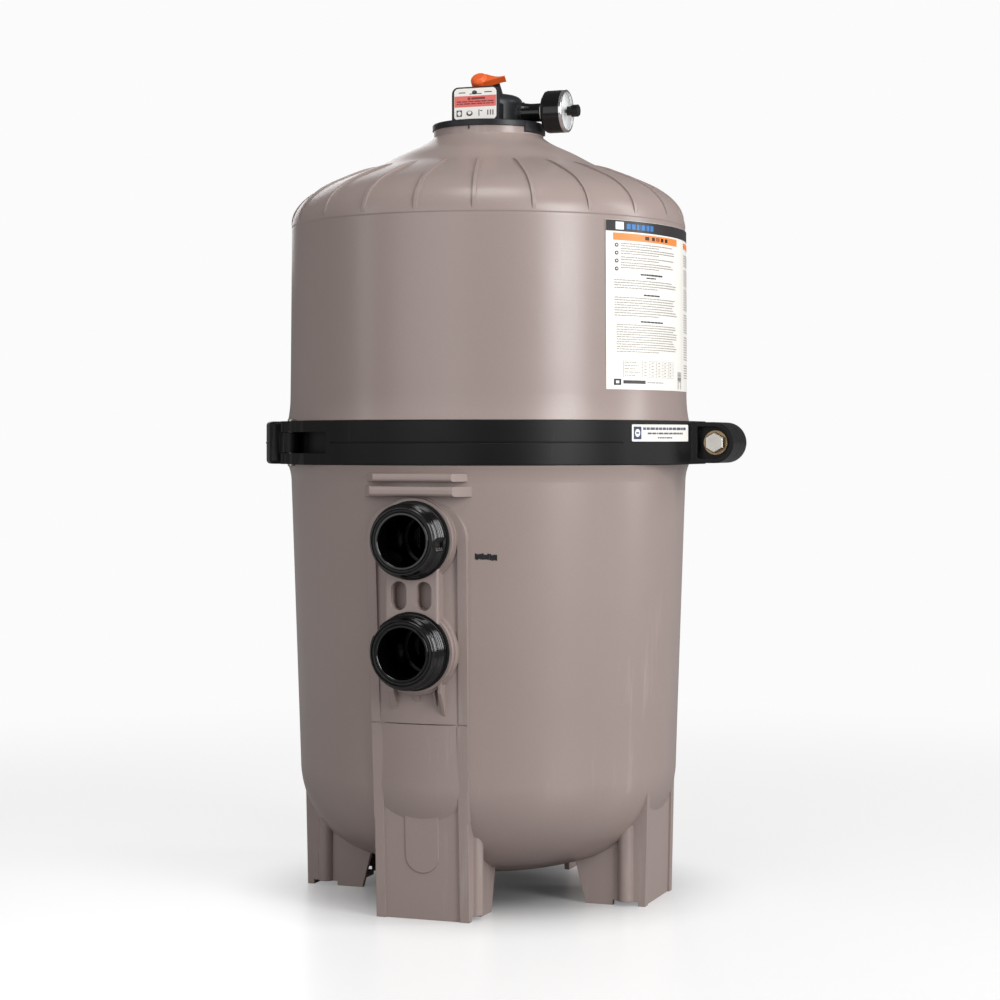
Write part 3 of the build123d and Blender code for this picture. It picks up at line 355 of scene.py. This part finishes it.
def disc(build, place, s, t, radius_s, radius_t, thickness, material=0, sides=16):
    """Thin closed oval patch on a sheet."""
    rings = []
    for lift in (-0.00003, thickness):
        rings.append([build.verts.new(place(s + radius_s * math.cos(2 * math.pi * i / sides),
                                            t + radius_t * math.sin(2 * math.pi * i / sides), lift))
                      for i in range(sides)])
    low, high = rings
    build.faces.new(high).material_index = material
    build.faces.new(list(reversed(low))).material_index = material
    for i in range(sides):
        j = (i + 1) % sides
        build.faces.new((low[i], low[j], high[j], high[i])).material_index = material


def word_row(build, place, rng, s0, s1, t, height, unit, thickness, material=0, fill=1.0):
    """A row of short bars, spaced like words, from s0 to about s1. unit is s per millimetre."""
    s = s0
    end = s0 + (s1 - s0) * fill
    while s < end:
        width = rng.uniform(2.2, 8.5) * unit
        stop = min(s + width, end)
        if stop - s > 0.8 * unit:
            slab(build, place, s, stop, t - height / 2, t + height / 2, thickness, material)
        s = stop + 1.1 * unit


# ---------------------------------------------------------------- tank label print
INK = 0.00007    # thickness of the printed layer


def label_surface():
    """Radius of the film's face as a straight line over its height."""
    low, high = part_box("tank_label")
    co = [v.co for v in NODES["tank_label"].data.vertices]
    mid = (low.z + high.z) / 2
    bottom = max(v.xy.length for v in co if v.z < mid)
    top = max(v.xy.length for v in co if v.z > mid)
    return low.z, high.z, bottom, top


LABEL_LOW, LABEL_HIGH, LABEL_R_LOW, LABEL_R_HIGH = label_surface()


def on_label(azimuth, z, lift):
    share = (z - LABEL_LOW) / (LABEL_HIGH - LABEL_LOW)
    radius = LABEL_R_LOW + (LABEL_R_HIGH - LABEL_R_LOW) * share + lift
    angle = math.radians(azimuth)
    return Vector((radius * math.sin(angle), -radius * math.cos(angle), z))


def tank_label_print():
    rng = random.Random(7)
    build = bmesh.new()
    unit = math.degrees(0.001 / 0.2705)          # degrees of azimuth for one millimetre
    dark, orange, grey, pale, blue = range(5)

    def bar(a0, a1, z0, z1, material):
        steps = max(1, int(abs(a1 - a0) / 3))
        slab(build, on_label, a0, a1, z0 * MM, z1 * MM, INK, material, steps)

    def rows(a0, a1, z_top, count, pitch, size=1.25, material=grey, last=0.6):
        for index in range(count):
            share = last if index == count - 1 else rng.uniform(0.86, 1.0)
            word_row(build, on_label, rng, a0, a1, (z_top - index * pitch) * MM, size * MM, unit, INK,
                     material, share)

    # Dark header band with a plain emblem and a wordless bar.
    bar(54.05, 125.95, 882.6, 896.6, dark)
    bar(57.3, 60.3, 884.6, 894.6, pale)
    for index in range(6):
        a = 61.4 + index * 2.0
        bar(a, a + 1.5, 885.8, 892.6, blue)
    # First column.
    bar(56.5, 87.7, 871.2, 880.3, orange)
    for index, a in enumerate((69.0, 72.0, 74.4, 76.8, 79.2)):
        bar(a, a + (1.6 if index else 1.9), 873.4, 878.2, dark)
    for index in range(4):
        z = 864.8 - index * 10.2
        disc(build, on_label, 57.7, z * MM, 0.62, 2.6 * MM, INK, dark)
        disc(build, on_label, 57.7, z * MM, 0.28, 1.2 * MM, INK + 0.00002, pale)
    for block, lines in ((867.0, 2), (860.4, 3), (849.6, 2), (842.4, 3)):
        rows(59.2, 86.8, block, lines, 3.1)
    rows(67.0, 77.6, 828.4, 1, 3, 2.2, dark, 1.0)
    rows(69.6, 74.2, 824.4, 1, 3, 1.5, dark, 1.0)
    rows(56.8, 87.0, 820.0, 4, 3.3)
    rows(68.4, 76.4, 801.9, 1, 3, 1.9, dark, 1.0)
    rows(56.9, 88.0, 797.6, 8, 3.3)
    rows(67.0, 77.8, 767.2, 1, 3, 1.9, dark, 1.0)
    rows(57.6, 87.6, 762.6, 12, 3.15)
    # Table.
    for a in (60.0, 67.5, 70.9, 74.3, 77.7, 81.1, 84.5):
        bar(a, a + 0.14, 695.2, 716.4, grey)
    for index in range(6):
        z = 695.2 + index * 4.2
        bar(60.0, 84.6, z, z + 0.35, grey)
        if index < 5:
            rows(60.5, 66.8, z + 2.2, 1, 1, 1.1, grey, rng.uniform(0.6, 1.0))
            for a in (68.4, 71.8, 75.2, 78.6, 82.0):
                bar(a, a + 1.1, z + 1.7, z + 2.8, grey)
    # Foot of the label: plain emblem and bar.
    bar(56.6, 59.2, 684.6, 692.6, dark)
    bar(57.3, 58.5, 686.8, 690.4, pale)
    bar(60.0, 69.0, 686.6, 691.0, dark)
    rows(69.8, 78.0, 688.6, 1, 3, 1.5, grey, 1.0)
    # Barcode and the divider beside it.
    stripe = 682.0
    while stripe < 704.0:
        width = rng.choice((0.5, 0.8, 1.2))
        bar(88.3, 91.8, stripe, stripe + width, dark)
        stripe += width + rng.choice((0.5, 0.8))
    bar(92.6, 92.8, 682.0, 874.0, pale)
    # Second column, round the side.
    bar(95.6, 122.0, 871.2, 878.6, orange)
    for block, lines in ((862.0, 5), (842.0, 7), (816.0, 9), (782.0, 8), (752.0, 10), (714.0, 6)):
        rows(95.6, 122.4, block, lines, 3.3)
    inks = [film("ink_dark", srgb(44, 41, 42), 0.35), film("ink_orange", srgb(252, 143, 70), 0.35),
            film("ink_grey", srgb(168, 162, 158), 0.4), film("ink_pale", srgb(240, 240, 238), 0.4),
            film("ink_blue", srgb(38, 120, 190), 0.35)]
    return add_piece("tank_label_print", build, inks, "tank")


# ---------------------------------------------------------------- clamp and valve label print
def flat_sheet(node):
    """Frame of a flat label plate: its centre, its long direction, +Z and its outward normal."""
    co = [v.co.copy() for v in NODES[node].data.vertices]
    low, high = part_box(node)
    centre = (low + high) / 2
    far = max(co, key=lambda v: (v - centre).xy.length)
    along = Vector((far.x - centre.x, far.y - centre.y, 0)).normalized()
    if along.x < 0:
        along = -along
    outward = Vector((along.y, -along.x, 0))
    reach = max((v - centre).dot(outward) for v in co)
    origin = centre + outward * reach
    return lambda s, t, lift: origin + along * s * MM + Vector((0, 0, t * MM)) + outward * lift


def clamp_label_print():
    rng = random.Random(11)
    place = flat_sheet("clamp_label")
    build = bmesh.new()
    blue, grey, pale = range(3)
    slab(build, place, -47.5, -34.0, -8.2, 8.2, INK, blue)
    disc(build, place, -40.7, 0.0, 4.6, 5.2, INK + 0.00003, pale)
    slab(build, place, -43.2, -38.2, -1.0, 1.0, INK + 0.00006, blue)
    word_row(build, place, rng, -31.0, 47.0, 5.6, 3.4, 1.0, INK, grey)
    word_row(build, place, rng, -23.0, 40.0, -0.6, 2.4, 1.0, INK, grey)
    word_row(build, place, rng, -5.0, 21.0, -6.2, 1.8, 1.0, INK, grey)
    inks = [film("ink_navy", srgb(52, 60, 92), 0.35), film("ink_slate", srgb(92, 92, 104), 0.4),
            film("ink_white", srgb(240, 240, 242), 0.4)]
    return add_piece("clamp_label_print", build, inks, "front_jaw")


def valve_label_print():
    rng = random.Random(5)
    low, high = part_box("valve_label")
    centre = (low + high) / 2
    wide = (high.x - low.x) / 0.056
    tall = (high.z - low.z) / 0.040

    def place(s, t, lift):
        return Vector((centre.x + s * wide * MM, low.y - lift, centre.z + t * tall * MM))

    build = bmesh.new()
    red, dark, deep, paper = range(4)
    slab(build, place, -27.6, 27.6, -3.6, 10.4, INK, red)
    # Warning triangle and bars on the band.
    for s, t, w, h in ((-10.0, 7.0, 3.6, 3.2), (-5.0, 7.0, 18.0, 2.6)):
        slab(build, place, s, s + w, t - h / 2, t + h / 2, INK + 0.00003, deep)
    for t in (3.2, 0.4):
        word_row(build, place, rng, -24.5, 24.5, t, 1.5, 1.0, INK + 0.00003, deep)
    # Small lever outline above the band.
    disc(build, place, -1.0, 14.6, 3.4, 2.6, INK, dark)
    slab(build, place, -7.5, 8.5, 12.2, 13.2, INK, dark)
    slab(build, place, -22.0, -13.0, 14.0, 15.2, INK, dark)
    slab(build, place, 12.0, 22.0, 14.0, 15.2, INK, dark)
    # Row of plain pictograms under the band.
    slab(build, place, -24.8, -17.6, -15.4, -7.4, INK, dark)
    disc(build, place, -21.2, -11.4, 2.4, 2.9, INK + 0.00003, paper)
    disc(build, place, -7.6, -11.6, 4.2, 3.4, INK, dark)
    disc(build, place, -7.6, -10.8, 2.6, 2.0, INK + 0.00003, paper)
    slab(build, place, 4.4, 5.6, -15.2, -7.2, INK, dark)
    slab(build, place, 6.6, 9.6, -9.4, -8.2, INK, dark)
    for s in (16.0, 19.4, 22.8):
        slab(build, place, s, s + 1.4, -14.6, -8.0, INK, dark)
    inks = [film("ink_salmon", srgb(232, 112, 104), 0.35), film("ink_black", srgb(60, 58, 62), 0.35),
            film("ink_maroon", srgb(120, 44, 46), 0.35), film("ink_paper", srgb(244, 243, 240), 0.4)]
    return add_piece("valve_label_print", build, inks, "tank")


# ---------------------------------------------------------------- ink stamp on the wall
def wall_stamp():
    """Blurred date stamp beside the port panel, as plain ink blocks on the tank wall."""
    rng = random.Random(3)
    z_mid = 0.466
    angle = math.radians(19.6)
    slope = (0.270 - 0.257) / (0.5595 - 0.177)     # the wall widens evenly from foot to rim
    base = 0.257 + slope * (z_mid - 0.177)

    def place(s, t, lift):
        turn = angle + s * MM / base
        r = base + slope * t * MM + lift
        return Vector((r * math.sin(turn), -r * math.cos(turn), z_mid + t * MM))
    build = bmesh.new()
    s = -14.0
    while s < 13.0:
        width = rng.uniform(1.6, 3.0)
        top = rng.uniform(2.8, 4.6) - 0.06 * s
        bottom = rng.uniform(-4.4, -3.0) - 0.06 * s
        slab(build, place, s, s + width, bottom, top, 0.0001, 0)
        s += width + rng.uniform(-0.5, 0.25)
    slab(build, place, -13.5, 14.0, -2.4, 2.0, 0.00012, 0)
    return add_piece("wall_stamp", build, [film("stamp_ink", srgb(24, 22, 24), 0.5)], "tank")


# ---------------------------------------------------------------- port fittings with a true thread
def port_fitting_piece(which, z_mm, start_share):
    """Bulkhead fitting turned about -Y, with a coarse rounded helical thread that fades at its ends."""
    turns_count = 160
    pitch = 6.0
    crest = 47.4
    root = 44.6
    start_y = 284.0
    end_y = 308.6
    run_in, run_out = 1.6, 2.4              # mm over which the thread rises and dies away
    crest_round = 0.55                      # below 1 widens the crests
    gap_half, gap_blend = 0.012, 0.014      # shares of a turn
    gap_depth = 0.8

    def thread(y, share):
        phase = ((y - start_y) / pitch - share) % 1.0
        rise = 0.5 - 0.5 * math.cos(2 * math.pi * phase)
        shape = rise ** crest_round
        fade_in = min(max((y - start_y) / run_in, 0.0), 1.0)
        fade_out = min(max((end_y - y) / run_out, 0.0), 1.0)
        from_start = min((share - start_share) % 1.0, (start_share - share) % 1.0)
        open_start = min(max((from_start - gap_half) / gap_blend, 0.0), 1.0)
        height = (crest - root) * shape * fade_in * fade_out * open_start
        return root - gap_depth + gap_depth * open_start + height

    outline = [(31.9, 222.0), (31.9, 312.6), (32.4, 314.2), (33.3, 315.0), (35.6, 315.0), (36.2, 314.3),
               (36.2, 311.4), (40.4, 311.4), (40.4, 314.3), (40.9, 315.0), (41.8, 315.0), (42.7, 314.2),
               (43.0, 313.3), (43.0, 310.4), (43.6, 309.4)]
    tail = [(47.5, 282.6), (47.5, 279.0), (37.6, 279.0), (37.6, 222.0)]
    samples = 52
    build = bmesh.new()
    rings = []
    columns = len(outline) + samples + len(tail)
    for turn in range(turns_count):
        share = turn / turns_count
        angle = 2 * math.pi * share
        ring = []
        points = list(outline)
        for index in range(samples):
            y = end_y - (end_y - start_y + 0.6) * index / (samples - 1)
            points.append((thread(y, share), y))
        points += tail
        for radius, y in points:
            ring.append(build.verts.new((radius * MM * math.cos(angle), -y * MM,
                                         z_mm * MM + radius * MM * math.sin(angle))))
        rings.append(ring)
    for turn in range(turns_count):
        near = rings[turn]
        far = rings[(turn + 1) % turns_count]
        for index in range(columns):
            after = (index + 1) % columns
            build.faces.new((near[index], near[after], far[after], far[index]))
    piece = add_piece(f"{which}_port_fitting_threaded", build, [MATERIALS["port_plastic"]], "tank",
                      40)
    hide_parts(f"{which}_port_fitting")
    return piece


# ---------------------------------------------------------------- gauge dial print
def gauge_dial_print():
    low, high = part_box("gauge_dial")
    face_x = high.x
    mid_z = (low.z + high.z) / 2

    def place(s, t, lift):
        return Vector((face_x + lift, s * MM, mid_z + t * MM))
    build = bmesh.new()
    black, red, green = range(3)

    def stroke(angle, r0, r1, width, material):
        c, n = math.cos(angle), math.sin(angle)
        corners = [(r0, -width), (r1, -width), (r1, width), (r0, width)]
        rings = []
        for lift in (-0.00003, INK):
            rings.append([build.verts.new(place(r * c - w * n, r * n + w * c, lift)) for r, w in corners])
        under, over = rings
        build.faces.new(over).material_index = material
        build.faces.new(list(reversed(under))).material_index = material
        for i in range(4):
            j = (i + 1) % 4
            build.faces.new((under[i], under[j], over[j], over[i])).material_index = material
    for index in range(61):
        angle = math.radians(225 - index * 4.5)
        major = index % 10 == 0
        stroke(angle, 19.5 if major else 21.6, 24.2, 0.38 if major else 0.16, black)
    for index in range(40):
        angle = math.radians(225 - 60 - index * 2.5)
        stroke(angle, 16.4, 17.4, 0.42, green if index < 26 else red)
    inks = [film("dial_black", srgb(26, 26, 28), 0.35), film("dial_red", srgb(200, 52, 44), 0.35),
            film("dial_green", srgb(66, 140, 84), 0.35)]
    return add_piece("gauge_dial_marks", build, inks, "tank")


tank_label_print()
clamp_label_print()
valve_label_print()
wall_stamp()
for where, height_mm, start_share in (("upper", 487.0, 0.985), ("lower", 346.0, 0.4)):
    port_fitting_piece(where, height_mm, start_share)
gauge_dial_print()

# ---------------------------------------------------------------- floor, light, camera
def floor_paper():
    """Pale sweep: its glow to the camera is painted dim below the tank as a painted shadow, full round it,
    fading to plain white further out.
    """
    s = Shader("floor_paper")
    fibre = s.noise(60.0, 3.0)
    tint = s.ramp(fibre, "Fac", [(0.3, (0.44, 0.44, 0.44)), (0.7, (0.46, 0.46, 0.46))])
    path = s.add("ShaderNodeLightPath")
    bounce = s.add("ShaderNodeMix", data_type="RGBA")
    s.tree.links.new(path.outputs["Is Camera Ray"], bounce.inputs[0])
    bounce.inputs[MIX_A].default_value = (0.33, 0.32, 0.32, 1)
    s.tree.links.new(tint.outputs["Color"], bounce.inputs[MIX_B])
    s.tree.links.new(bounce.outputs[MIX_OUT], s.bsdf.inputs["Base Color"])
    s.set(Roughness=0.30, Specular_IOR_Level=0.4)
    # Painted shadow: by distance from the centre, the camera-ray floor glow drops from 0.54 beyond 0.38 m
    # to 0.03 within 0.08 m, painting the floor darker beneath the tank.
    reach = s.add("ShaderNodeVectorMath", operation="LENGTH")
    s.tree.links.new(s.coords.outputs["Object"], reach.inputs[0])
    lift = s.grey_range(reach, "Value", 0.03, 0.54)
    lift.interpolation_type = "SMOOTHSTEP"
    lift.inputs["From Min"].default_value = 0.08
    lift.inputs["From Max"].default_value = 0.38
    near = s.grey_range(path, "Is Camera Ray", 0.0, 0.5)
    s.link(lift, "Result", near, "To Max")
    s.bsdf.inputs["Emission Color"].default_value = (1, 1, 1, 1)
    s.link(near, "Result", s.bsdf, "Emission Strength")
    glow = s.add("ShaderNodeEmission")
    far = s.grey_range(path, "Is Camera Ray", 0.32, 0.965)
    s.link(far, "Result", glow, "Strength")
    fade = s.grey_range(reach, "Value", 0.0, 1.0)
    fade.interpolation_type = "SMOOTHSTEP"
    fade.inputs["From Min"].default_value = 0.5
    fade.inputs["From Max"].default_value = 2.4
    mix = s.add("ShaderNodeMixShader")
    s.link(fade, "Result", mix, "Fac")
    s.tree.links.new(s.bsdf.outputs["BSDF"], mix.inputs[1])
    s.tree.links.new(glow.outputs["Emission"], mix.inputs[2])
    s.link(mix, "Shader", s.output, "Surface")
    return s.material


def floor():
    mesh = bpy.data.meshes.new("floor")
    build = bmesh.new()
    bmesh.ops.create_grid(build, x_segments=24, y_segments=24, size=40.0)
    build.to_mesh(mesh)
    build.free()
    obj = bpy.data.objects.new("floor", mesh)
    bpy.context.scene.collection.objects.link(obj)
    mesh.materials.append(floor_paper())
    return obj


def area_light(name, place, target, size, size_y, power):
    data = bpy.data.lights.new(name, "AREA")
    data.shape = "RECTANGLE"
    data.size = size
    data.size_y = size_y
    data.energy = power
    obj = bpy.data.objects.new(name, data)
    obj.location = place
    direction = Vector(target) - Vector(place)
    obj.rotation_euler = direction.to_track_quat("-Z", "Y").to_euler()
    bpy.context.scene.collection.objects.link(obj)
    return obj


def world_light(strength, mirrored, seen):
    """Plain white studio: its strength as light, in reflections and as backdrop."""
    world = bpy.data.worlds.new("studio")
    bpy.context.scene.world = world
    world.use_nodes = True
    tree = world.node_tree
    tree.nodes.clear()
    out = tree.nodes.new("ShaderNodeOutputWorld")
    back = tree.nodes.new("ShaderNodeBackground")
    back.inputs["Color"].default_value = (1, 1, 1, 1)
    path = tree.nodes.new("ShaderNodeLightPath")
    glossy = tree.nodes.new("ShaderNodeMapRange")
    glossy.inputs["To Min"].default_value = strength
    glossy.inputs["To Max"].default_value = mirrored
    tree.links.new(path.outputs["Is Glossy Ray"], glossy.inputs["Value"])
    level = tree.nodes.new("ShaderNodeMapRange")
    tree.links.new(glossy.outputs["Result"], level.inputs["To Min"])
    level.inputs["To Max"].default_value = seen
    tree.links.new(path.outputs["Is Camera Ray"], level.inputs["Value"])
    tree.links.new(level.outputs["Result"], back.inputs["Strength"])
    tree.links.new(back.outputs["Background"], out.inputs["Surface"])


def camera():
    azimuth = math.radians(20.3)
    distance = 3.25
    height = 0.610
    data = bpy.data.cameras.new("camera")
    data.sensor_width = 36.0
    data.lens = 85.06
    data.shift_x = 0.0115
    data.shift_y = -0.057
    obj = bpy.data.objects.new("camera", data)
    obj.location = (distance * math.sin(azimuth), -distance * math.cos(azimuth), height)
    obj.rotation_euler = (math.pi / 2, 0, azimuth)
    bpy.context.scene.collection.objects.link(obj)
    bpy.context.scene.camera = obj


floor()
world_light(0.35, 0.16, 0.965)
area_light("key_right", (2.9, -1.5, 1.7), (0, 0, 0.55), 1.2, 2.4, 81)
area_light("rim_right", (2.6, 0.9, 1.5), (0, 0, 0.7), 0.5, 2.2, 24)
area_light("back_fill", (-1.8, 3.0, 1.9), (0, 0, 0.6), 2.0, 1.6, 22)
area_light("fill_front", (-0.7, -3.4, 1.2), (0, 0, 0.4), 2.6, 2.0, 19)
area_light("strip_left", (-2.4, -1.9, 1.6), (0, 0, 0.8), 0.35, 2.0, 6)
area_light("top", (0.4, -0.9, 3.0), (0, 0, 0.8), 1.1, 1.1, 17)
camera()
bpy.context.scene.view_settings.view_transform = "Standard"
